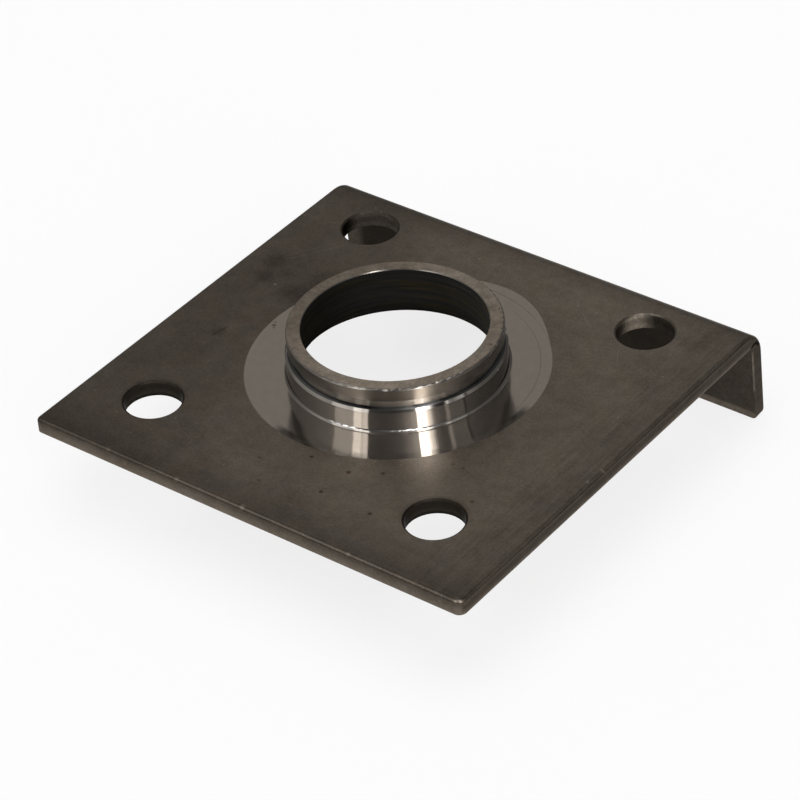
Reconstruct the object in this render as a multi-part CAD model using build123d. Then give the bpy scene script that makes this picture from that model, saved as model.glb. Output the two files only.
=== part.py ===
from build123d import *
import os

# Weld-on mounting plate, in millimetres.
# One steel stamping: a sheet with four punched holes, one edge bent down into a flange, and a
# neck drawn up out of its middle. The neck is turned outside as a pilot with a retaining-ring
# groove, and the sheet is faced round the neck's foot.
# The origin is on the neck's axis, in the plane of that faced ring. +Z points up the neck, and
# +Y points at the flange.

# Sheet
plate_width = 150.0
left_of_axis = 72.2
front_of_axis = 75.7
thickness = 5.0
left_corner_radius = 1.5
right_corner_radius = 2.5
edge_roll = 1.3
under_edge = 0.4

# Flange, bent down along the back edge over a sharp tool, which thins the bend, and sprung open a
# little
back_of_axis = 70.9
flange_drop = 32.0
flange_lean = 4.0
outer_bend_radius = 9.0
inner_bend_radius = 0.8
flange_corner_radius = 1.6

# Punched bolt holes: the pattern lies a little to the right of the neck, the punch dragged their
# upper edges down, and the steel tore slightly wider below the sheared part of the wall
hole_diameter = 17.0
hole_spacing_x = 100.0
hole_spacing_y = 102.0
pattern_offset_x = 1.0
hole_edge_width = 0.5
hole_edge_drop = 0.35
sheared_depth = 3.2
hole_tear = 0.2

# Neck, measured up from the faced ring
neck_height = 14.4
bore_diameter = 54.0
bore_entry_radius = 9.7
pilot_diameter = 64.0
upper_diameter = 62.7
groove_diameter = 61.0
groove_bottom = 7.3
groove_width = 2.9
foot_fillet = 0.8
pilot_edge = 0.7
rim_rounding = 0.7
small_edge = 0.25

# Faced ring round the neck's foot
faced_diameter = 88.6
facing_depth = 0.08

# Derived sizes
sheet_top = facing_depth
sheet_bottom = sheet_top - thickness
through_flange = Axis((0, 0, 0), Vector(0, 1, 0).rotate(Axis.X, flange_lean))
hole_radius = hole_diameter / 2
bore_radius = bore_diameter / 2
pilot_radius = pilot_diameter / 2
upper_radius = upper_diameter / 2
groove_radius = groove_diameter / 2
groove_top = groove_bottom + groove_width


def edges_round(faces):
    """The edges round a group of faces, without the ones that two of them share."""
    edges = ShapeList(edge for face in faces for edge in face.edges())
    return ShapeList(edge for edge in edges if edges.count(edge) == 1)


def meets(face, other):
    """True if two faces share an edge."""
    return any(edge in other.edges() for edge in face.edges())


def skin(sheet, place):
    """One skin of the bent sheet, where place 0 is the lower skin and -1 the upper one."""
    flat = sheet.faces().filter_by(Axis.Z).sort_by(Axis.Z)[place]
    flange_side = sheet.faces().filter_by(through_flange).sort_by(Axis.Y)[place]
    bend = sheet.faces().filter_by(GeomType.CYLINDER).filter_by(
        lambda face: meets(face, flat) and meets(face, flange_side)
    )
    return [flat, flange_side, *bend]


def bent_sheet():
    """The sheet with its flange, rounded corners, rolled upper edges and broken lower ones."""
    bend_corner = Vector(back_of_axis, sheet_top)
    flange_end = bend_corner + Vector(0, -flange_drop).rotate(Axis.Z, flange_lean)
    with BuildPart() as sheet:
        with BuildSketch(Plane.YZ.offset(-left_of_axis)) as section:
            with BuildLine():
                Polyline((-front_of_axis, sheet_top), bend_corner, flange_end)
                offset(amount=thickness, side=Side.RIGHT)
            make_face()
            outer_corner, inner_corner = section.vertices().sort_by_distance(bend_corner)[:2]
            fillet(outer_corner, outer_bend_radius)
            fillet(inner_corner, inner_bend_radius)
        extrude(amount=plate_width)

        for place, radius in ((0, left_corner_radius), (-1, right_corner_radius)):
            fillet(sheet.edges().filter_by(Axis.Z).sort_by(Axis.X)[place], radius)
        flange_edge = sheet.faces().sort_by(Axis.Z)[0]
        fillet(flange_edge.edges().filter_by(through_flange), flange_corner_radius)

        fillet(edges_round(skin(sheet, -1)), edge_roll)
        fillet(edges_round(skin(sheet, 0)), under_edge)
    return sheet.part


def hole_punch():
    """What the punch takes out: dragged edge, sheared wall, and the wider tear below."""
    with BuildPart() as punch:
        with BuildSketch(Plane.XZ):
            with BuildLine():
                Polyline(
                    (0, sheet_top),
                    (hole_radius + hole_edge_width, sheet_top),
                    (hole_radius, sheet_top - hole_edge_drop),
                    (hole_radius, sheet_top - sheared_depth),
                    (hole_radius + hole_tear, sheet_bottom),
                    (0, sheet_bottom),
                    close=True,
                )
            make_face()
        revolve(axis=Axis.Z)
    return punch.part


def corner(sketch, x, y):
    """The sketch's corner at a place."""
    return sketch.vertices().sort_by_distance((x, y))[0]


def turned_neck():
    """The neck's outside as the lathe left it, with its root inside the sheet."""
    root = sheet_bottom / 2
    foot_radius = pilot_radius + 2 * foot_fillet
    with BuildPart() as neck:
        with BuildSketch(Plane.XZ) as section:
            with BuildLine():
                Polyline(
                    (0, root),
                    (0, neck_height),
                    (upper_radius, neck_height),
                    (upper_radius, groove_top),
                    (groove_radius, groove_top),
                    (groove_radius, groove_bottom),
                    (pilot_radius, groove_bottom),
                    (pilot_radius, 0),
                    (foot_radius, 0),
                    (foot_radius, root),
                    close=True,
                )
            make_face()
            fillet(corner(section, upper_radius, neck_height), rim_rounding)
            chamfer(corner(section, upper_radius, groove_top), small_edge)
            chamfer(corner(section, pilot_radius, groove_bottom), pilot_edge)
            fillet(corner(section, pilot_radius, 0), foot_fillet)
        revolve(axis=Axis.Z)
    return neck.part


def neck_bore():
    """The bore, opening below into the large radius that the drawing punch left."""
    with BuildPart() as bore:
        with BuildSketch(Plane.XZ):
            with BuildLine():
                wall_top = (bore_radius, neck_height - small_edge)
                wall = Line(wall_top, (bore_radius, sheet_bottom + bore_entry_radius))
                entry = JernArc(wall @ 1, wall % 1, bore_entry_radius, 90)
                mouth = (bore_radius + small_edge, neck_height)
                Polyline(entry @ 1, (0, sheet_bottom), (0, neck_height), mouth, wall_top)
            make_face()
        revolve(axis=Axis.Z)
    return bore.part


def mounting_plate():
    """The whole stamping, in the order of its making."""
    with BuildPart() as plate:
        add(bent_sheet())
        faced_ring = Align.CENTER, Align.CENTER, Align.MIN
        Cylinder(faced_diameter / 2, facing_depth, align=faced_ring, mode=Mode.SUBTRACT)
        add(turned_neck())
        add(neck_bore(), mode=Mode.SUBTRACT)
        with Locations((pattern_offset_x, 0)):
            with GridLocations(hole_spacing_x, hole_spacing_y, 2, 2):
                add(hole_punch(), mode=Mode.SUBTRACT)
    return plate.part


os.makedirs("parts", exist_ok=True)
export_step(mounting_plate(), "parts/mounting_plate.step")
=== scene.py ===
import bpy
import math
from types import SimpleNamespace
from mathutils import Matrix, Vector


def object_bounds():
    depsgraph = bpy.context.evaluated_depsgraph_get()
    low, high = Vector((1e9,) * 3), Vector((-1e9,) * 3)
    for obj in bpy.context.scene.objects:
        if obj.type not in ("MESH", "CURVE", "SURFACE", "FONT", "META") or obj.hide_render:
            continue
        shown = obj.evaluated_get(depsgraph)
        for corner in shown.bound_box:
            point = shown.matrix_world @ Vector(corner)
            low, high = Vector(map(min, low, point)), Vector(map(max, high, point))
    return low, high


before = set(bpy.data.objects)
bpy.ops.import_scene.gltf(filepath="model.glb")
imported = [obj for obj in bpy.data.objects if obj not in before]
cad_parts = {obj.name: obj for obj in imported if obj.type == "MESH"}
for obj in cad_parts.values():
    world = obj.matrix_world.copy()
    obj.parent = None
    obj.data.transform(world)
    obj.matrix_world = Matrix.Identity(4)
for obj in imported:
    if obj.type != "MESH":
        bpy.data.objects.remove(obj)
cad_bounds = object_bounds()
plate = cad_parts["mounting_plate"]

# The camera of the photograph, in metres and degrees
camera_place = Vector((0.51968, -0.62824, 0.59887))
camera_target = Vector((0.00378, -0.00483, -0.00817))
camera_roll = -4.341
camera_lens = 158.84
camera_sensor = 36.0
camera_reach = 100.0
camera_azimuth = math.degrees(math.atan2(camera_place.y, camera_place.x))

# Sizes of the part that its finish follows, in millimetres
sheet_bottom = -4.92
sheet_right = 77.8
sheet_front = -75.7
neck_height = 14.4
bore_radius = 27.0
upper_radius = 31.35
faced_radius = 44.3
groove_bottom = 7.3
groove_top = 10.2
hole_spacing_x = 100.0
hole_spacing_y = 102.0
pattern_offset_x = 1.0
hole_radius = 8.5

# The studio, seen from the part: how bright the room is all round (azimuth in degrees counted from
# the camera, brightness), and how it falls off upwards (degrees above the horizon, share)
room = [
    (-180, 0.33), (-165, 0.28), (-130, 0.23), (-104, 0.27), (-86, 0.36), (-76, 0.42), (-36, 0.15),
    (-22, 0.10), (-8, 0.14), (0, 0.28), (4, 0.50), (8, 0.66), (10, 0.90), (14, 1.20), (34, 0.45),
    (38, 0.26), (43, 0.15), (70, 0.20), (76, 0.18), (84, 0.14), (102, 0.11), (130, 0.125),
    (148, 0.19), (164, 0.28), (180, 0.33),
]
room_fall = [(0, 1.0), (45, 1.0), (51, 0.60), (56, 0.30), (62, 0.26), (90, 0.30)]
# The horizon is white up to a height, in degrees, and ends softly
horizon_top = 6.0
horizon_edge = 4.0
# Soft boxes, bright and dark: from one azimuth to another, brightness. They begin at a height
card_bottom = 10.0
card_bottom_edge = 5.0
card_edge = 0.8
cards = [
    (-74.0, -52.0, 1.2),
    (-52.0, -43.4, 3.4),
    (-43.4, -41.4, 2.4),
    (-41.4, -36.4, 2.7),
    (16.0, 26.0, 11.0),
    (26.0, 28.4, 5.0),
    (28.4, 30.4, 3.6),
    (30.4, 32.0, 2.6),
    (32.0, 34.0, 1.1),
    (47.6, 51.8, 0.75),
    (51.8, 67.4, 0.29),
    (67.4, 69.6, 0.34),
    (69.6, 72.2, 0.05),
]
white = (1, 1, 1, 1)
floor_colour = (0.9, 0.9, 0.9, 1)
floor_glow = 0.8
floor_reach = 12.0
# A low ring of flags stands round the part, a little darker than the room, out of the camera's
# sight
flag_radius = 0.30
flag_top = 0.065
flag_count = 96
flag_brightness = 0.7
# A wide lamp overhead lights the floor, in metres and watts
lamp_height = 1.6
lamp_size = 1.8
lamp_power = 16.0


class Graph:
    """Short ways to add and join the nodes of a material or a world."""

    def __init__(self, tree):
        self.tree = tree
        tree.nodes.clear()

    def add(self, kind, inputs=(), **settings):
        node = self.tree.nodes.new(kind)
        for name, value in settings.items():
            setattr(node, name, value)
        for key, value in dict(inputs).items():
            self.feed(node.inputs[key], value)
        return node

    def feed(self, socket, value):
        if isinstance(value, bpy.types.NodeSocket):
            self.tree.links.new(value, socket)
        else:
            socket.default_value = value

    def math(self, operation, *values):
        node = self.add("ShaderNodeMath", enumerate(values), operation=operation)
        return node.outputs[0]

    def vector(self, operation, *values):
        node = self.add("ShaderNodeVectorMath", enumerate(values), operation=operation)
        return node.outputs[0]

    def scale(self, vector, factor):
        node = self.add("ShaderNodeVectorMath", {0: vector, "Scale": factor}, operation="SCALE")
        return node.outputs[0]

    def length(self, x, y):
        vector = self.add("ShaderNodeCombineXYZ", {0: x, 1: y}).outputs[0]
        return self.add("ShaderNodeVectorMath", {0: vector}, operation="LENGTH").outputs["Value"]

    def minus(self, first, second):
        return self.math("SUBTRACT", first, second)

    def plus(self, first, second):
        return self.math("ADD", first, second)

    def absolute(self, value):
        return self.math("ABSOLUTE", value)

    def degrees(self, y, x):
        return self.math("DEGREES", self.math("ARCTAN2", y, x))

    def split(self, vector):
        return self.add("ShaderNodeSeparateXYZ", {0: vector}).outputs

    def unit(self, vector):
        return self.vector("NORMALIZE", vector)

    def turned(self, vector, degrees):
        """A vector turned round the upright axis."""
        node = self.add("ShaderNodeVectorRotate",
                        {"Vector": vector, "Angle": math.radians(degrees)},
                        rotation_type="Z_AXIS")
        return node.outputs[0]

    def product(self, first, *others):
        for other in others:
            first = self.math("MULTIPLY", first, other)
        return first

    def highest(self, first, *others):
        for other in others:
            first = self.math("MAXIMUM", first, other)
        return first

    def step(self, value, low, high):
        """0 below low, 1 above high, and smooth between them. High below low turns it round."""
        flip = high < low
        low, high = min(low, high), max(low, high)
        node = self.add(
            "ShaderNodeMapRange",
            {"Value": value, "From Min": low, "From Max": high,
             "To Min": float(flip), "To Max": float(not flip)},
            interpolation_type="SMOOTHSTEP",
        )
        return node.outputs[0]

    def band(self, value, low, high, edge):
        """1 between two values, with soft edges."""
        return self.product(self.step(value, low - edge / 2, low + edge / 2),
                            self.step(value, high + edge / 2, high - edge / 2))

    def ramp(self, value, stops):
        """A value that runs in straight lines between the stops (place, value)."""
        low, high = stops[0][0], stops[-1][0]
        peak = max(level for _, level in stops)
        node = self.add("ShaderNodeValToRGB", {
            "Fac": self.add("ShaderNodeMapRange",
                            {"Value": value, "From Min": low, "From Max": high}).outputs[0]})
        elements = node.color_ramp.elements
        while len(elements) < len(stops):
            elements.new(0.5)
        for element, (place, level) in zip(elements, stops):
            element.position = (place - low) / (high - low)
        for element, (place, level) in zip(elements, stops):
            share = level / peak
            element.color = (share, share, share, 1)
        return self.product(node.outputs[0], peak)

    def join(self, node, output):
        self.tree.links.new(node.outputs[0], output.inputs[0])

    def mix(self, factor, first, second):
        node = self.add("ShaderNodeMix", data_type="RGBA")
        self.feed(node.inputs[0], factor)
        self.feed(node.inputs[6], first)
        self.feed(node.inputs[7], second)
        return node.outputs[2]

    def blend(self, factor, first, second):
        node = self.add("ShaderNodeMix", data_type="FLOAT")
        self.feed(node.inputs[0], factor)
        self.feed(node.inputs[2], first)
        self.feed(node.inputs[3], second)
        return node.outputs[0]

    def noise(self, vector, texture):
        """A texture: how fine, how detailed and how rough it is."""
        scale, detail, roughness = texture
        node = self.add("ShaderNodeTexNoise", {"Vector": vector, "Scale": scale, "Detail": detail,
                                               "Roughness": roughness})
        return node.outputs[0]

    def vary(self, noise, depth, level=1.0):
        """A level that varies with a texture."""
        return self.plus(self.product(self.minus(noise, 0.5), depth), level)

    def layer(self, factor, first, second):
        """One shader, with another over it."""
        return self.add("ShaderNodeMixShader",
                        {0: factor, 1: first.outputs[0], 2: second.outputs[0]})


def add_camera():
    """The camera stands off the plate's front right corner, looking down at it with a long lens."""
    data = bpy.data.cameras.new("camera")
    data.sensor_width = camera_sensor
    data.lens = camera_lens
    data.clip_end = camera_reach
    camera = bpy.data.objects.new("camera", data)
    bpy.context.scene.collection.objects.link(camera)
    aim = (camera_target - camera_place).to_track_quat("-Z", "Y").to_matrix()
    roll = Matrix.Rotation(math.radians(camera_roll), 3, "Z")
    camera.matrix_world = Matrix.Translation(camera_place) @ (aim @ roll).to_4x4()
    bpy.context.scene.camera = camera


def add_studio():
    """A dim room round the part, with soft boxes, bright and dark, and a pale horizon."""
    world = bpy.data.worlds.new("studio")
    world.use_nodes = True
    bpy.context.scene.world = world
    g = Graph(world.node_tree)
    direction = g.add("ShaderNodeTexCoord").outputs["Generated"]
    x, y, z = g.split(g.turned(direction, -camera_azimuth))
    azimuth = g.degrees(y, x)
    height = g.math("DEGREES", g.math("ARCSINE", z))
    total = g.ramp(azimuth, room)
    for start, end, brightness in cards:
        card = g.product(g.band(azimuth, start, end, card_edge),
                         g.step(height, card_bottom, card_bottom + card_bottom_edge))
        total = g.blend(card, total, brightness)
    total = g.product(total, g.ramp(height, room_fall))
    total = g.blend(g.step(height, horizon_top + horizon_edge, horizon_top), total, 1.0)
    background = g.add("ShaderNodeBackground", {"Color": white, "Strength": total})
    g.join(background, g.add("ShaderNodeOutputWorld"))


def add_staged(name, corners, faces, material_name):
    """A piece of the studio, with a new material. Returns the object and the material's graph."""
    mesh = bpy.data.meshes.new(name)
    mesh.from_pydata(corners, [], faces)
    piece = bpy.data.objects.new(name, mesh)
    bpy.context.scene.collection.objects.link(piece)
    material = bpy.data.materials.new(material_name)
    material.use_nodes = True
    mesh.materials.append(material)
    return piece, Graph(material.node_tree)


def add_flags():
    """The ring of flags, which only reflections see."""
    corners = []
    for i in range(flag_count):
        angle = 2 * math.pi * i / flag_count
        x, y = flag_radius * math.cos(angle), flag_radius * math.sin(angle)
        corners += [(x, y, cad_bounds[0].z), (x, y, flag_top)]
    count = len(corners)
    faces = [(i, (i + 2) % count, (i + 3) % count, i + 1) for i in range(0, count, 2)]
    flags, g = add_staged("flags", corners, faces, "flag_grey")
    flags.visible_camera = False
    flags.visible_diffuse = False
    flags.visible_transmission = False
    flags.visible_shadow = False
    place = g.add("ShaderNodeTexCoord").outputs["Object"]
    x, y, _ = g.split(g.turned(place, -camera_azimuth))
    strength = g.product(g.ramp(g.degrees(y, x), room), flag_brightness)
    glow = g.add("ShaderNodeEmission", {"Color": white, "Strength": strength})
    g.join(glow, g.add("ShaderNodeOutputMaterial"))


def add_lamp():
    """The overhead lamp, which is for the floor and its shadow, so it doesn't show in the metal."""
    data = bpy.data.lights.new("overhead", "AREA")
    data.shape = "DISK"
    data.size = lamp_size
    data.energy = lamp_power
    lamp = bpy.data.objects.new("overhead", data)
    lamp.location = (0, 0, lamp_height)
    bpy.context.scene.collection.objects.link(lamp)
    lamp.visible_glossy = False
    lamp.visible_camera = False


def add_floor():
    """A pale floor under the flange's lower edge, white to the camera, with the part's shadow."""
    corners = [(x * floor_reach, y * floor_reach, cad_bounds[0].z)
               for x, y in ((-1, -1), (1, -1), (1, 1), (-1, 1))]
    _, g = add_staged("floor", corners, [(0, 1, 2, 3)], "floor_white")
    path = g.add("ShaderNodeLightPath").outputs
    seen = g.highest(path["Is Camera Ray"], path["Is Glossy Ray"], path["Is Transmission Ray"])
    diffuse = g.add("ShaderNodeBsdfDiffuse", {"Color": floor_colour})
    glow = g.add("ShaderNodeEmission", {"Color": white, "Strength": 1.0})
    g.join(g.layer(g.product(seen, floor_glow), diffuse, glow),
           g.add("ShaderNodeOutputMaterial"))


# The steel's colours
mill_colour = (0.330, 0.272, 0.214, 1)
mill_grey = (0.318, 0.272, 0.222, 1)
spot_colour = (0.14, 0.085, 0.055, 1)
turned_colour = (0.42, 0.412, 0.402, 1)
edge_colour = (0.42, 0.385, 0.345, 1)
faced_colour = (0.455, 0.396, 0.336)
bore_colour = (0.0135, 0.0130, 0.0118, 1)
bore_stain = (0.0210, 0.0170, 0.0095, 1)
# The tint of what the finishes mirror at a grazing angle
mill_grazing = (0.5, 0.5, 0.5, 1)
turned_grazing = (0.6, 0.6, 0.6, 1)

# Textures: how fine (per millimetre), how detailed and how rough they are. Some are stretched first
mill_clouds = (0.045, 5.0, 0.6)
mill_mottle = (0.22, 6.0, 0.72)
mill_grain = (1.3, 3.0, 0.6)
mill_streaks = (1.0, 4.0, 0.6)
mill_specks = (0.75, 1.0, 0.4)
mill_shades = (0.12, 4.0, 0.6)
rolling_stretch = (0.9, 0.05, 0.9)
rim_wear = (0.30, 5.0, 0.7)
burr_specks = (1.1, 2.0, 0.5)
shear_marks = (2.0, 3.0, 0.7)
shear_stretch = (0.12, 0.25)
lathe_marks = (3.0, 3.0, 0.7)
facing_marks = (1.6, 4.0, 0.75)
handling_scuffs = (0.35, 4.0, 0.65)
bore_streaks = (1.5, 4.0, 0.6)
bore_stains = (1.3, 3.0, 0.6)
streak_stretch = (0.02, 0.02, 0.5)
stain_stretch = (0.05, 0.05, 0.4)

# How much the textures change, as a share, and the range of a texture that counts
clouds_depth = 0.50
mottle_depth = 0.80
grain_depth = 0.70
streaks_depth = 0.12
streaks_depth_right = 0.75
streaks_right_x = (55.0, 70.0)
specks_range = (0.73, 0.80)
specks_depth = 0.5
shades_range = (0.35, 0.65)
darkest_share = 0.1
rim_depth = 1.1
burr_depth = 2.4
burr_level = 1.05
shear_depth = 1.6
lathe_depth = 0.30
scuffs_depth = 0.16
facing_depth = 0.22
facing_scuffs_depth = 0.24
facing_level = 1.02
bore_depth = 1.4
stains_range = (0.48, 0.66)
stains_share = 0.8

# How rough and how stretched the finishes are
mill_roughness = 0.40
mill_roughness_depth = 0.12
pilot_roughness = 0.05
chamfer_roughness = 0.08
foot_roughness = 0.10
groove_roughness = 0.13
upper_roughness = 0.12
brow_roughness = 0.32
face_roughness = 0.08
haze_roughness = 0.5
haze_share = 0.15
bore_roughness = 0.6
wall_stretch = 1.0
face_stretch = 0.9
stretch_turn = 0.25

# The bore's painted light: paler on the right as a painted sheen, and darker on the left as
# painted shade (azimuth, share)
bore_painted_light = [(-180.0, 0.60), (-60.0, 1.0), (20.0, 2.8), (50.0, 2.8), (66.0, 2.0), (80.0, 1.5),
             (96.0, 1.05), (150.0, 0.95), (180.0, 0.60)]

# Painted reflections on the neck: how bright its parts are (degrees round from the camera's side,
# share), and the painted shade that darkens the groove downwards (height, share)
pilot_tone = 1.12
chamfer_painted_reflection = [
    (-90, 1.2), (-60, 1.3), (-44, 1.3), (-36, 0.85), (-30, 0.88), (-25, 0.68), (-22, 0.56),
    (-17, 0.56), (-9, 0.66), (2, 0.34), (4, 0.27), (6, 0.36), (9, 0.75), (15, 1.2), (18, 0.4),
    (22, 0.25), (23, 0.5), (24, 1.7), (27, 1.0), (31, 1.9), (33, 2.2), (34, 1.4), (37, 1.7),
    (45, 1.2), (60, 1.2), (90, 1.1),
]
foot_painted_reflection = [
    (-90, 0.9), (-75, 0.85), (-60, 0.90), (-45, 1.35), (-32, 1.0), (-22, 0.6), (-8, 1.3), (0, 1.2),
    (8, 0.5), (20, 1.3), (30, 1.5), (45, 1.1), (60, 1.1), (75, 1.7), (90, 1.5),
]
groove_painted_reflection = [
    (-90, 0.8), (-75, 0.9), (-60, 1.3), (-45, 1.1), (-36, 0.88), (-30, 0.60), (-24, 0.42),
    (-18, 0.32), (-15, 1.1), (-9, 2.2), (0, 1.9), (4, 1.9), (6, 1.6), (8, 0.70), (12, 0.95),
    (16, 1.45), (20, 1.5), (24, 0.95), (28, 1.0), (36, 1.15), (45, 0.75), (60, 1.5), (75, 1.1),
    (90, 1.0),
]
groove_shade = [(7.3, 0.70), (8.0, 0.85), (9.6, 1.25), (10.2, 1.3)]
upper_painted_reflection = [
    (-90, 0.95), (-60, 0.90), (-46, 1.05), (-34, 1.04), (-27, 0.82), (-20, 0.95), (-17, 0.70),
    (-12, 0.85), (-9, 1.05), (2, 0.75), (6, 0.62), (9, 1.45), (12, 1.55), (15, 1.0), (18, 0.82),
    (22, 1.0), (25, 1.32), (45, 1.5), (60, 1.45), (75, 1.35), (90, 1.3),
]
brow_painted_reflection = [
    (-90, 0.8), (-60, 0.9), (-46, 0.95), (-36, 1.15), (-28, 1.25), (-22, 1.10), (-18, 0.60),
    (-15, 0.35), (-11, 0.42), (-8, 0.75), (-4, 0.9), (2, 1.6), (6, 1.7), (10, 1.3), (12, 0.40),
    (15, 0.22), (17, 0.40), (19, 0.28), (21, 0.70), (26, 0.55), (30, 0.9), (34, 0.7), (39, 1.0),
    (52, 0.8), (60, 1.3), (68, 0.8), (90, 0.8),
]

# The ring's finish leans in towards the neck, as on a shallow dish (radius, slope), but not behind
# it (degrees round from the camera's side, share)
ring_dish = [(32.0, 0.010), (36.0, 0.025), (39.0, 0.058), (42.0, 0.084), (44.3, 0.095)]
dish_fade = [(0, 1.0), (80, 1.0), (125, 0.0)]
# Near its edge the ring has a painted reflection: dark in an arc on each side, with bands that
# differ from those further in (degrees round from the camera's side, share)
ring_edge_start = 41.2
ring_edge_width = 1.6
ring_edge_painted_reflection = [
    (-56, 1.0), (-51, 0.28), (-48, 0.28), (-46, 0.42), (-42, 0.85), (-38, 1.0), (-34, 0.90),
    (-31, 1.0), (-28, 1.0), (-22, 1.1), (-19, 0.68), (-14, 0.85), (-9, 1.1), (0, 0.70),
    (4, 0.80), (10, 0.75), (13, 0.65), (17, 1.1), (20, 1.0), (25, 1.40), (30, 1.35), (38, 1.15),
    (43, 0.85), (46, 0.42), (48, 0.28), (51, 0.28), (56, 1.0),
]
# The foot's fillet and the chamfer mirror as if they leaned upwards, in degrees
raised_angle = 42.0
# A fine arc left by the tool on the ring: its radius, half its width, the azimuths it runs between
# and its share
arc_radius = 41.0
arc_width = (0.28, 0.05)
arc_from, arc_to, arc_fade = -8.0, 68.0, 20.0
arc_share = 0.78

# The faced ring ran out a little wider towards the flange
ring_bulge = 3.3
ring_bulge_azimuth = 80.0
ring_bulge_reach = 38.0

# Painted light and shade on the mill finish: how bright it is in from the rolled edges (distance,
# share), across and along the sheet, and up its sheared sides (height, share), and the painted shade
# of the flange's end, its inner, outer and lowest faces, and the underside
front_edge_painted_light = [(0.0, 0.66), (1.0, 0.80), (2.0, 0.66), (3.5, 0.72), (8.0, 0.86), (16.0, 1.0)]
right_edge_painted_light = [(0.0, 0.88), (1.0, 0.92), (2.0, 0.84), (8.0, 0.90), (16.0, 1.0)]
across_painted_light = [(-72.0, 0.70), (-60.0, 0.66), (-40.0, 0.74), (-15.0, 0.95), (20.0, 1.0),
               (80.0, 1.0)]
along_painted_light = [(-76.0, 1.0), (40.0, 1.0), (52.0, 1.10), (57.0, 1.08), (62.0, 0.92), (71.0, 0.80)]
front_side_painted_shade = [(-5.0, 0.50), (-4.5, 0.48), (-3.6, 0.42), (-2.6, 0.36), (-1.6, 0.27),
                   (-0.7, 0.24), (0.1, 0.20)]
right_side_painted_shade = [(-5.0, 0.60), (-4.5, 0.50), (-4.1, 0.36), (-3.6, 0.26), (-2.6, 0.19),
                   (-1.6, 0.19), (-0.7, 0.29), (0.1, 0.46)]
flange_end_painted_shade = [(-32.0, 0.27), (-20.0, 0.21), (-8.0, 0.17), (-4.0, 0.17)]
flange_inside_painted_shade = [(-72.0, 0.20), (-68.0, 0.17), (-65.0, 0.06), (50.0, 0.065), (66.0, 0.14),
                      (78.0, 0.16)]
flange_outside_painted_shade = 0.6
flange_foot_painted_shade = 0.33
underside_painted_shade = 0.16
# A painted highlight and a painted shadow at the flange's end, painted shade round the front holes,
# and painted shade on the back right hole's edge away from its burr
edge_painted_highlight = 0.42
bulge_painted_shadow = 0.03
hole_shade = 0.70
back_right_edge_painted_shade = 0.62
# The painted reflection on the rim's top: how bright it is (degrees round from the camera's side,
# share)
rim_painted_reflection = [(-180, 1.40), (-120, 1.25), (-90, 1.35), (-60, 1.70), (-35, 2.15), (0, 2.0),
            (30, 1.75), (70, 1.55), (110, 1.6), (150, 1.70), (180, 1.40)]

# Painted shade on the walls of the bolt holes (height, share): dark in front and lighter behind,
# where the right one is brighter over part of its wall (direction from the far side, share)
front_wall_painted_shade = [(-5.0, 0.025), (-4.2, 0.05), (-3.5, 0.09), (-2.8, 0.075), (-2.1, 0.06),
                  (-0.7, 0.062), (-0.3, 0.09)]
back_wall_painted_shade = [(-5.0, 0.13), (-4.2, 0.15), (-3.5, 0.15), (-2.8, 0.12), (-2.1, 0.115),
                   (-1.4, 0.13), (-0.7, 0.2), (-0.3, 0.2)]
back_right_wall_brightening = [(-90.0, 0.50), (-45.0, 0.45), (-25.0, 0.55), (-12.0, 1.6), (0.0, 3.2), (15.0, 4.0),
           (35.0, 3.6), (60.0, 4.0), (90.0, 2.4)]
# Painted shade and light on the dragged edge of each hole: front left, front right, back left,
# back right
dragged_edge_painted_light = [0.45, 0.27, 0.55, 1.05]

# Rust spots, and darker or lighter patches, on the sheet: x, y, radius, depth. The dark patch at
# (-46, 12) beside the neck is painted shade, and the light one at (18, -45) before it is a painted
# reflection of the neck's bright band
rust_spots = [
    (5.7, -47.4, 0.75, 0.9), (18.7, -47.4, 0.9, 0.95), (27.0, -42.7, 0.8, 0.8),
    (17.6, -58.3, 0.75, 0.95), (34.7, -58.7, 0.8, 0.9), (-6.4, -55.4, 0.6, 0.6),
    (-0.1, -63.6, 0.6, 0.5), (55.0, -39.4, 0.9, 0.7), (40.9, -29.0, 0.7, 0.5),
    (44.4, -29.0, 0.7, 0.5),
]
patches_and_painted_light = [
    (-46.0, 12.0, 7.0, -0.36), (-44.0, 22.0, 6.0, -0.25), (18.0, -45.0, 9.0, 0.14),
    (-60.0, 14.0, 4.0, -0.24), (-62.5, 22.0, 4.5, -0.26), (-56.0, 19.0, 3.0, -0.22),
    (-54.0, -15.0, 3.0, -0.16), (-66.0, 4.0, 5.0, -0.10), (12.0, -66.0, 7.0, -0.08),
    (-30.0, -58.0, 8.0, -0.10), (60.0, 20.0, 8.0, 0.08), (-8.0, -60.0, 7.0, 0.08),
    (60.0, -62.0, 6.0, -0.08), (67.0, 55.0, 7.5, -0.20), (-55.0, 12.4, 0.5, 1.2),
    (77.1, -9.0, 0.7, 0.9), (76.6, -15.4, 0.6, 0.8), (3.3, -75.0, 0.9, 0.9),
    (76.0, -75.0, 1.2, 0.8), (-20.0, -75.2, 1.0, 0.5), (40.0, -75.2, 0.8, 0.6),
    (-45.0, -75.2, 0.9, 0.4),
]
# Scratches: from, to, half width, depth
scratches = [
    ((-59.6, 25.3), (-49.6, 40.3), 0.22, 0.30), ((-61.0, 26.8), (-51.6, 41.0), 0.18, 0.20),
    ((-64.0, 44.6), (-57.4, 49.6), 0.22, 0.28), ((49.7, 38.9), (53.3, 33.1), 0.20, 0.20),
    ((30.4, 48.9), (36.9, 43.9), 0.20, 0.22), ((-54.6, -17.5), (-53.4, -12.0), 0.5, -0.30),
    ((-20.0, 56.0), (-8.0, 51.0), 0.18, 0.14), ((56.0, -30.0), (62.0, -14.0), 0.18, 0.10),
]
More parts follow.
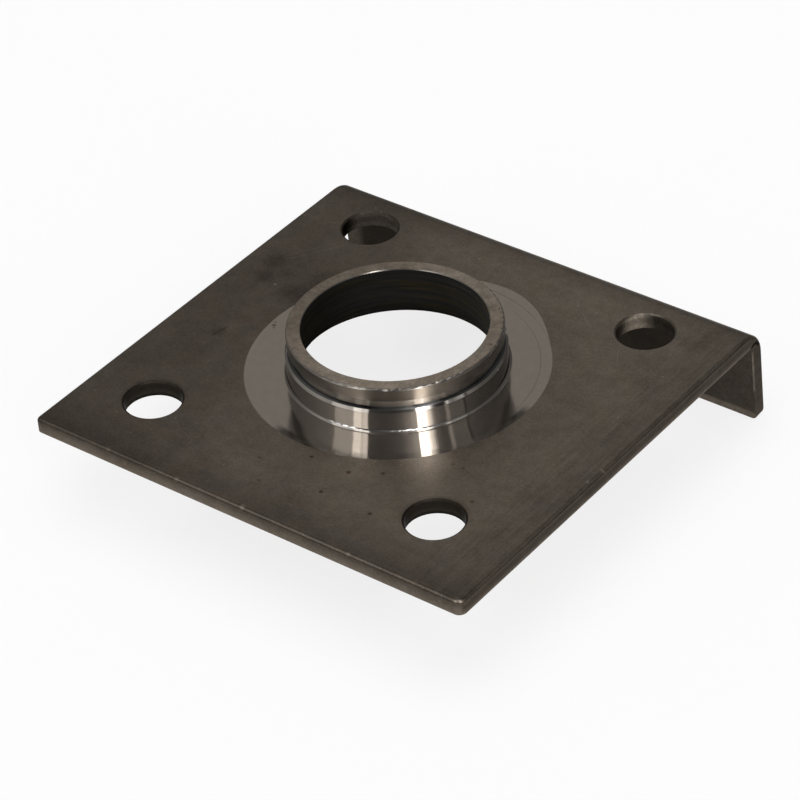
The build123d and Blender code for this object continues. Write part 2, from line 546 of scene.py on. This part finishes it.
# Nicks in the neck's edges: x, y, z, radius, depth
nicks = [
    (17.2, -26.8, 14.2, 0.8, 1.3), (26.6, -15.9, 14.2, 0.6, 0.9), (28.4, -13.0, 14.2, 0.5, 0.8),
    (31.4, 6.1, 6.6, 0.35, 3.5), (31.9, 5.7, 5.7, 0.5, -0.7), (30.2, 7.6, 14.3, 0.5, 0.9),
    (28.9, 6.4, 14.3, 0.7, -0.4), (20.9, 21.9, 14.3, 0.35, -0.6), (22.4, 20.6, 14.3, 0.35, -0.6),
    (24.1, 18.8, 14.3, 0.4, -0.6), (25.6, 16.9, 14.3, 0.35, -0.6), (27.0, 14.4, 14.3, 0.45, -0.6),
]
# Dark pits on the faced ring
pits = [(-42.4, -4.0, 0.8, -0.55), (-41.6, -5.0, 0.5, -0.4), (-43.0, -2.6, 0.5, -0.4)]
# Spots are gone at a share of their radius and full inside another. Scratches fade at their ends,
# in millimetres, and are gone at a share of their half width
spot_edge = (1.2, 0.3)
scratch_end = 1.0
scratch_side = 1.5

# Where the finishes meet, each from where a part begins to where it is reached: places and heights
# in millimetres, turns in degrees, and the part of the face's normal that lies along an axis
middle = (-0.5, 0.5)
upper_normal_z = (0.1, 0.4)
side_normal_z = (0.75, 0.45)
front_side_y = (sheet_front + 1.5, sheet_front + 0.5)
below_sheet_z = (sheet_bottom - 0.08, sheet_bottom - 0.38)
under_normal_z = (-0.5, -0.9)
flange_end_z = (-4.0, -5.5)
flange_end_y = (55.0, 60.0)
flange_foot_z = (-29.0, -30.2)
flange_foot_normal_z = (-0.2, -0.6)
inner_normal_y = (-0.6, -0.9)
outer_normal_y = (0.6, 0.9)
outer_z = (0.0, -2.0)
# A painted highlight up the inner edge of the flange's end, and a painted shadow in an arc over it,
# where the bend bulged
edge_line_x = (77.2, 77.4)
edge_line_z = (-21.0, -7.0)
edge_line_fade = 3.0
edge_line_normal_y = (-0.2, -0.4)
bulge_y, bulge_z, bulge_radius = 67.3, -6.2, 2.2
bulge_width = (0.9, 0.3)
bulge_from_x = (77.0, 77.4)
bulge_from_z = (-6.0, -5.4)
# The bolt holes: the dragged edge, the burr on it, the shade round the front ones, and the wall
dragged_from, dragged_to, dragged_fade = hole_radius - 0.5, hole_radius + 0.55, 0.15
dragged_z = (-0.45, -0.3)
burr_from = (-50.0, -25.0)
burr_to = (40.0, 15.0)
shade_radius = (hole_radius + 2.2, hole_radius + 0.4)
shade_far = (-3.0, 4.0)
wall_radius = (hole_radius + 0.6, hole_radius + 0.4)
wall_top_z = (-0.2, -0.35)
wall_bottom_z = (sheet_bottom - 0.28, sheet_bottom - 0.08)
# The neck, from its foot up
foot_normal_z = (0.05, 0.25)
foot_z = (0.55, 0.35)
chamfer_from_z = (6.55, 6.65)
chamfer_to_z = (groove_bottom, groove_bottom - 0.05)
groove_from_z, groove_fade = groove_bottom - 0.1, 0.05
groove_side = (upper_radius, upper_radius - 0.1)
upper_z = (groove_top - 0.1, groove_top)
brow_z = (neck_height - 0.75, neck_height - 0.55)
brow_normal_z = (0.1, 0.3)
rim_z = (neck_height - 0.4, neck_height - 0.2)
rim_normal_z = (0.80, 0.95)
# The faced ring, and the bore with the drawn underside round it
face_z = (0.2, 0.1)
face_normal_z = (0.93, 0.98)
faced_edge = (0.12, -0.12)
faced_z = (-0.06, -0.02)
bore_side = (bore_radius + 0.06, bore_radius + 0.03)
bore_z = (neck_height - 0.1, neck_height - 0.3)
drawn_normal_z = (0.0, -0.04)
drawn_radius = (37.2, 36.4)


def positions(g):
    """Where a point of the part lies, in millimetres and degrees, and which way it faces."""
    place = g.scale(g.add("ShaderNodeTexCoord").outputs["Object"], 1000.0)
    x, y, z = g.split(place)
    normal = g.add("ShaderNodeNewGeometry").outputs["Normal"]
    _, normal_y, normal_z = g.split(normal)
    at = SimpleNamespace(place=place, x=x, y=y, z=z,
                         normal=normal, normal_y=normal_y, normal_z=normal_z)
    at.radius = g.length(x, y)
    at.azimuth = g.degrees(y, x)
    at.turn = g.minus(at.azimuth, camera_azimuth)

    # The same from the middle of the nearest bolt hole, whose turn is counted from its far side
    at.right = g.step(x, *middle)
    at.behind = g.step(y, *middle)
    middle_x = g.blend(at.right, pattern_offset_x - hole_spacing_x / 2,
                       pattern_offset_x + hole_spacing_x / 2)
    middle_y = g.blend(at.behind, -hole_spacing_y / 2, hole_spacing_y / 2)
    from_hole = g.add("ShaderNodeCombineXYZ", {0: g.minus(x, middle_x),
                                               1: g.minus(y, middle_y)}).outputs[0]
    far, left, _ = g.split(g.turned(from_hole, 180.0 - camera_azimuth))
    at.hole_radius = g.length(far, left)
    at.hole_turn = g.degrees(left, far)
    at.hole_far = far
    return at


def near(g, at, spot, radius):
    """1 at a spot on the sheet or the neck, falling to 0 at its radius."""
    if len(spot) == 2:
        distance = g.length(g.minus(at.x, spot[0]), g.minus(at.y, spot[1]))
    else:
        offset = g.vector("SUBTRACT", at.place, spot)
        distance = g.add("ShaderNodeVectorMath", {0: offset}, operation="LENGTH").outputs["Value"]
    outside, inside = spot_edge
    return g.step(distance, radius * outside, radius * inside)


def scratch(g, at, start, end, half_width):
    """1 along a straight scratch."""
    length = math.dist(start, end)
    ahead_x, ahead_y = (end[0] - start[0]) / length, (end[1] - start[1]) / length
    dx, dy = g.minus(at.x, start[0]), g.minus(at.y, start[1])
    along = g.plus(g.product(dx, ahead_x), g.product(dy, ahead_y))
    aside = g.absolute(g.minus(g.product(dy, ahead_x), g.product(dx, ahead_y)))
    return g.product(g.band(along, 0.0, length, scratch_end),
                     g.step(aside, half_width * scratch_side, 0.0))


def sheet_painted_light(g, at):
    """The painted light and shade of the mill finish on the sheet, its sides and the flange."""
    tone = g.product(g.ramp(g.minus(at.y, sheet_front), front_edge_painted_light),
                     g.ramp(at.x, across_painted_light), g.ramp(at.y, along_painted_light),
                     g.ramp(g.minus(sheet_right, at.x), right_edge_painted_light))

    # Painted shade on the sheared sides, and on the end of the flange
    side = g.blend(g.step(at.y, *front_side_y),
                   g.ramp(at.z, right_side_painted_shade), g.ramp(at.z, front_side_painted_shade))
    flange_end = g.product(g.step(at.z, *flange_end_z), g.step(at.y, *flange_end_y))
    side = g.blend(flange_end, side, g.ramp(at.z, flange_end_painted_shade))
    tone = g.blend(g.step(at.normal_z, *side_normal_z), tone, side)

    # Painted shade on the underside, and on both sides of the flange
    low = g.step(at.z, *flange_foot_z)
    inside = g.ramp(at.x, flange_inside_painted_shade)
    below_sheet = g.step(at.z, *below_sheet_z)
    inward = g.product(g.step(at.normal_y, *inner_normal_y), below_sheet)
    tone = g.blend(g.step(at.normal_z, *under_normal_z), tone, underside_painted_shade)
    tone = g.blend(inward, tone, g.blend(low, inside, flange_foot_painted_shade))
    tone = g.blend(g.product(low, g.step(at.normal_z, *flange_foot_normal_z)), tone,
                   flange_foot_painted_shade)
    outward = g.product(g.step(at.normal_y, *outer_normal_y), g.step(at.z, *outer_z))
    tone = g.blend(outward, tone, flange_outside_painted_shade)

    # A painted highlight up the inner edge of the flange's end, and a painted shadow in an arc over
    # it
    line = g.product(g.step(at.x, *edge_line_x), g.step(at.normal_y, *edge_line_normal_y),
                     below_sheet, g.band(at.z, *edge_line_z, edge_line_fade))
    tone = g.blend(line, tone, edge_painted_highlight)
    from_bulge = g.length(g.minus(at.y, bulge_y), g.minus(at.z, bulge_z))
    bulge = g.product(g.step(at.x, *bulge_from_x), g.step(at.z, *bulge_from_z),
                      g.step(g.absolute(g.minus(from_bulge, bulge_radius)), *bulge_width))
    return g.blend(bulge, tone, bulge_painted_shadow)


def hole_marks_and_painted_light(g, at, tone):
    """The painted light and shade of the punched holes: their walls, their dragged edges and the
    sheet round them.
    """
    corners = [g.blend(at.right, *pair) for pair in (dragged_edge_painted_light[:2], dragged_edge_painted_light[2:])]
    dragged = g.blend(at.behind, *corners)
    # The back right hole's burr: a real burr, its specks brightened as a painted glint, with painted
    # shade on the edge beside it
    burr = g.product(g.step(at.hole_turn, *burr_from), g.step(at.hole_turn, *burr_to))
    burr = g.blend(burr, back_right_edge_painted_shade,
                   g.vary(g.noise(at.place, burr_specks), burr_depth, burr_level))
    dragged = g.blend(g.product(at.behind, at.right), dragged, burr)
    open_edge = g.product(g.band(at.hole_radius, dragged_from, dragged_to, dragged_fade),
                          g.step(at.z, *dragged_z))
    shade = g.product(g.step(at.hole_radius, *shade_radius), g.step(at.hole_far, *shade_far),
                      g.minus(1.0, at.behind))
    tone = g.product(tone, g.blend(shade, 1.0, hole_shade))
    tone = g.product(tone, g.blend(open_edge, 1.0, dragged))

    round_wall, up_wall = shear_stretch
    unrolled = g.add("ShaderNodeCombineXYZ", {0: g.product(at.hole_turn, round_wall),
                                              1: g.product(at.z, up_wall)}).outputs[0]
    sheared = g.vary(g.noise(unrolled, shear_marks), shear_depth)
    # Painted shade on the hole walls: dark in front and lighter behind
    behind = g.product(g.ramp(at.z, back_wall_painted_shade),
                       g.blend(at.right, 1.0, g.ramp(at.hole_turn, back_right_wall_brightening)))
    wall_tone = g.blend(at.behind, g.ramp(at.z, front_wall_painted_shade), g.product(behind, sheared))
    wall = g.product(g.step(at.hole_radius, *wall_radius), g.step(at.z, *wall_top_z),
                     g.step(at.z, *wall_bottom_z))
    return g.blend(wall, tone, wall_tone)


def mill_shader(g, at, rim_top):
    """The sheet's mill finish, mottled, streaked, spotted and scratched, with painted light and
    shade.
    """
    tone = hole_marks_and_painted_light(g, at, sheet_painted_light(g, at))
    # The rim's top: a painted reflection, over real wear
    rim = g.product(g.ramp(at.turn, rim_painted_reflection), g.vary(g.noise(at.place, rim_wear), rim_depth))
    tone = g.blend(rim_top, tone, rim)

    mottle = g.noise(at.place, mill_mottle)
    rolled = g.noise(g.vector("MULTIPLY", at.place, rolling_stretch), mill_streaks)
    streaked = g.blend(g.step(at.x, *streaks_right_x), streaks_depth, streaks_depth_right)
    change = g.vary(g.noise(at.place, mill_clouds), clouds_depth, 0.0)
    change = g.plus(change, g.vary(mottle, mottle_depth, 0.0))
    change = g.plus(change, g.vary(g.noise(at.place, mill_grain), grain_depth, 0.0))
    change = g.plus(change, g.vary(rolled, streaked, 0.0))

    upper = g.step(at.normal_z, *upper_normal_z)
    # Patches on the sheet, one of them painted shade and one a painted reflection
    for x, y, radius, depth in patches_and_painted_light:
        change = g.plus(change, g.product(near(g, at, (x, y), radius), depth, upper))
    for start, end, half_width, depth in scratches:
        change = g.plus(change, g.product(scratch(g, at, start, end, half_width), depth, upper))
    specks = g.step(g.noise(at.place, mill_specks), *specks_range)
    change = g.plus(change, g.product(specks, specks_depth, upper))
    for x, y, z, radius, depth in nicks:
        change = g.plus(change, g.product(near(g, at, (x, y, z), radius), depth))
    tone = g.product(tone, g.highest(g.plus(change, 1.0), darkest_share))

    shades = g.step(g.noise(at.place, mill_shades), *shades_range)
    tint = g.mix(shades, mill_colour, mill_grey)
    spots = 0.0
    for x, y, radius, depth in rust_spots:
        spots = g.plus(spots, g.product(near(g, at, (x, y), radius), depth, upper))
    tint = g.mix(g.math("MINIMUM", spots, 1.0), tint, spot_colour)
    return g.add("ShaderNodeBsdfPrincipled", {
        "Base Color": g.scale(tint, tone), "Metallic": 1.0,
        "Roughness": g.vary(mottle, mill_roughness_depth, mill_roughness),
        "Specular Tint": mill_grazing})


def round_axis(g):
    """The way the lathe's marks run."""
    return g.add("ShaderNodeTangent", direction_type="RADIAL", axis="Z").outputs[0]


def wall_shader(g, at, lathe, scuffs, outward):
    """The neck's turned wall, with its foot, chamfer, groove, upper land and rounded brow, each with
    painted reflections by azimuth.
    """
    foot = g.product(g.step(at.normal_z, *foot_normal_z), g.step(at.z, *foot_z))
    chamfer = g.product(g.step(at.z, *chamfer_from_z), g.step(at.z, *chamfer_to_z))
    groove = g.product(g.band(at.z, groove_from_z, groove_top, groove_fade),
                       g.step(at.radius, *groove_side))
    upper = g.step(at.z, *upper_z)
    brow = g.product(g.step(at.z, *brow_z), g.step(at.normal_z, *brow_normal_z))
    # Each part's brightness by azimuth is a painted reflection, and the groove's fall downwards is
    # painted shade
    in_groove = g.product(g.ramp(at.turn, groove_painted_reflection), g.ramp(at.z, groove_shade))
    bright, rough = pilot_tone, pilot_roughness
    for part, tone, roughness in (
        (chamfer, g.ramp(at.turn, chamfer_painted_reflection), chamfer_roughness),
        (foot, g.ramp(at.turn, foot_painted_reflection), foot_roughness),
        (groove, in_groove, groove_roughness),
        (upper, g.ramp(at.turn, upper_painted_reflection), upper_roughness),
        (brow, g.ramp(at.turn, brow_painted_reflection), brow_roughness),
    ):
        bright = g.blend(part, bright, tone)
        rough = g.blend(part, rough, roughness)
    bright = g.product(bright, g.vary(g.noise(lathe, lathe_marks), lathe_depth),
                       g.vary(scuffs, scuffs_depth))
    for x, y, z, radius, depth in nicks:
        bright = g.product(bright, g.plus(g.product(near(g, at, (x, y, z), radius), depth), 1.0))

    upward = (0.0, 0.0, math.tan(math.radians(raised_angle)))
    raised = g.unit(g.vector("ADD", outward, upward))
    tint = g.mix(g.highest(foot, chamfer, brow), turned_colour, edge_colour)
    return g.add("ShaderNodeBsdfPrincipled", {
        "Base Color": g.scale(tint, bright), "Metallic": 1.0, "Roughness": rough,
        "Anisotropic": wall_stretch, "Anisotropic Rotation": stretch_turn,
        "Tangent": round_axis(g), "Specular Tint": turned_grazing,
        "Normal": g.mix(g.highest(foot, chamfer), g.mix(groove, at.normal, outward), raised)})


def face_shader(g, at, lathe, scuffs, outward):
    """The faced ring, which leans in a little, with a fine arc, some pits and a painted reflection
    near its edge.
    """
    bright = g.product(g.vary(g.noise(lathe, facing_marks), facing_depth),
                       g.vary(scuffs, facing_scuffs_depth, facing_level))
    from_arc = g.absolute(g.minus(at.radius, arc_radius))
    arc = g.product(g.step(from_arc, *arc_width), g.band(at.azimuth, arc_from, arc_to, arc_fade))
    bright = g.product(bright, g.blend(arc, 1.0, arc_share))
    for x, y, radius, depth in pits:
        bright = g.product(bright, g.plus(g.product(near(g, at, (x, y), radius), depth), 1.0))
    # The painted reflection near the ring's edge
    by_edge = g.step(at.radius, ring_edge_start, ring_edge_start + ring_edge_width)
    bright = g.product(bright, g.blend(by_edge, 1.0, g.ramp(at.turn, ring_edge_painted_reflection)))
    faced = g.scale(faced_colour, bright)

    slope = g.product(g.ramp(at.radius, ring_dish), g.ramp(g.absolute(at.turn), dish_fade))
    dished = g.unit(g.vector("SUBTRACT", at.normal, g.scale(outward, slope)))
    face = g.add("ShaderNodeBsdfPrincipled", {
        "Base Color": faced, "Metallic": 1.0, "Roughness": face_roughness,
        "Anisotropic": face_stretch, "Anisotropic Rotation": stretch_turn,
        "Tangent": round_axis(g), "Normal": dished})
    haze = g.add("ShaderNodeBsdfPrincipled", {
        "Base Color": faced, "Metallic": 1.0, "Roughness": haze_roughness})
    return g.layer(haze_share, face, haze)


def turned_shader(g, at):
    """The lathe's surfaces: mirror-like along the marks of the tool, stretched across them."""
    lathe = g.add("ShaderNodeCombineXYZ", {0: at.radius, 1: at.z}).outputs[0]
    scuffs = g.noise(at.place, handling_scuffs)
    outward = g.unit(g.vector("MULTIPLY", at.place, (1.0, 1.0, 0.0)))
    on_face = g.product(g.step(at.z, *face_z), g.step(at.normal_z, *face_normal_z))
    return g.layer(on_face, wall_shader(g, at, lathe, scuffs, outward),
                   face_shader(g, at, lathe, scuffs, outward))


def bore_shader(g, at):
    """The bore, dark and stained, with a painted sheen on its right."""
    streaks = g.noise(g.vector("MULTIPLY", at.place, streak_stretch), bore_streaks)
    stains = g.noise(g.vector("MULTIPLY", at.place, stain_stretch), bore_stains)
    tint = g.mix(g.product(g.step(stains, *stains_range), stains_share), bore_colour, bore_stain)
    tone = g.product(g.vary(streaks, bore_depth), g.ramp(at.azimuth, bore_painted_light))
    return g.add("ShaderNodeBsdfPrincipled", {
        "Base Color": g.scale(tint, tone), "Roughness": bore_roughness,
        "Specular IOR Level": 0.0})


def steel_material():
    """One steel: mill finish on the sheet, turned bright on the neck and the faced ring."""
    material = bpy.data.materials.new("steel")
    material.use_nodes = True
    g = Graph(material.node_tree)
    at = positions(g)

    off = g.math("DIVIDE", g.absolute(g.minus(at.azimuth, ring_bulge_azimuth)), ring_bulge_reach)
    ring_edge = g.plus(g.product(g.step(off, 1.0, 0.0), ring_bulge), faced_radius)
    inside = g.step(g.minus(at.radius, ring_edge), *faced_edge)
    rim_top = g.product(g.step(at.z, *rim_z), g.step(at.normal_z, *rim_normal_z))
    turned_part = g.product(inside, g.step(at.z, *faced_z), g.minus(1.0, rim_top))
    drawn = g.product(g.step(at.normal_z, *drawn_normal_z), g.step(at.radius, *drawn_radius))
    bored = g.product(g.highest(g.step(at.radius, *bore_side), drawn), g.step(at.z, *bore_z))

    steel = g.layer(turned_part, mill_shader(g, at, rim_top), turned_shader(g, at))
    g.join(g.layer(bored, steel, bore_shader(g, at)), g.add("ShaderNodeOutputMaterial"))
    return material


add_camera()
add_studio()
add_flags()
add_lamp()
add_floor()
plate.material_slots[0].material = steel_material()
bpy.context.scene.view_settings.view_transform = "Standard"
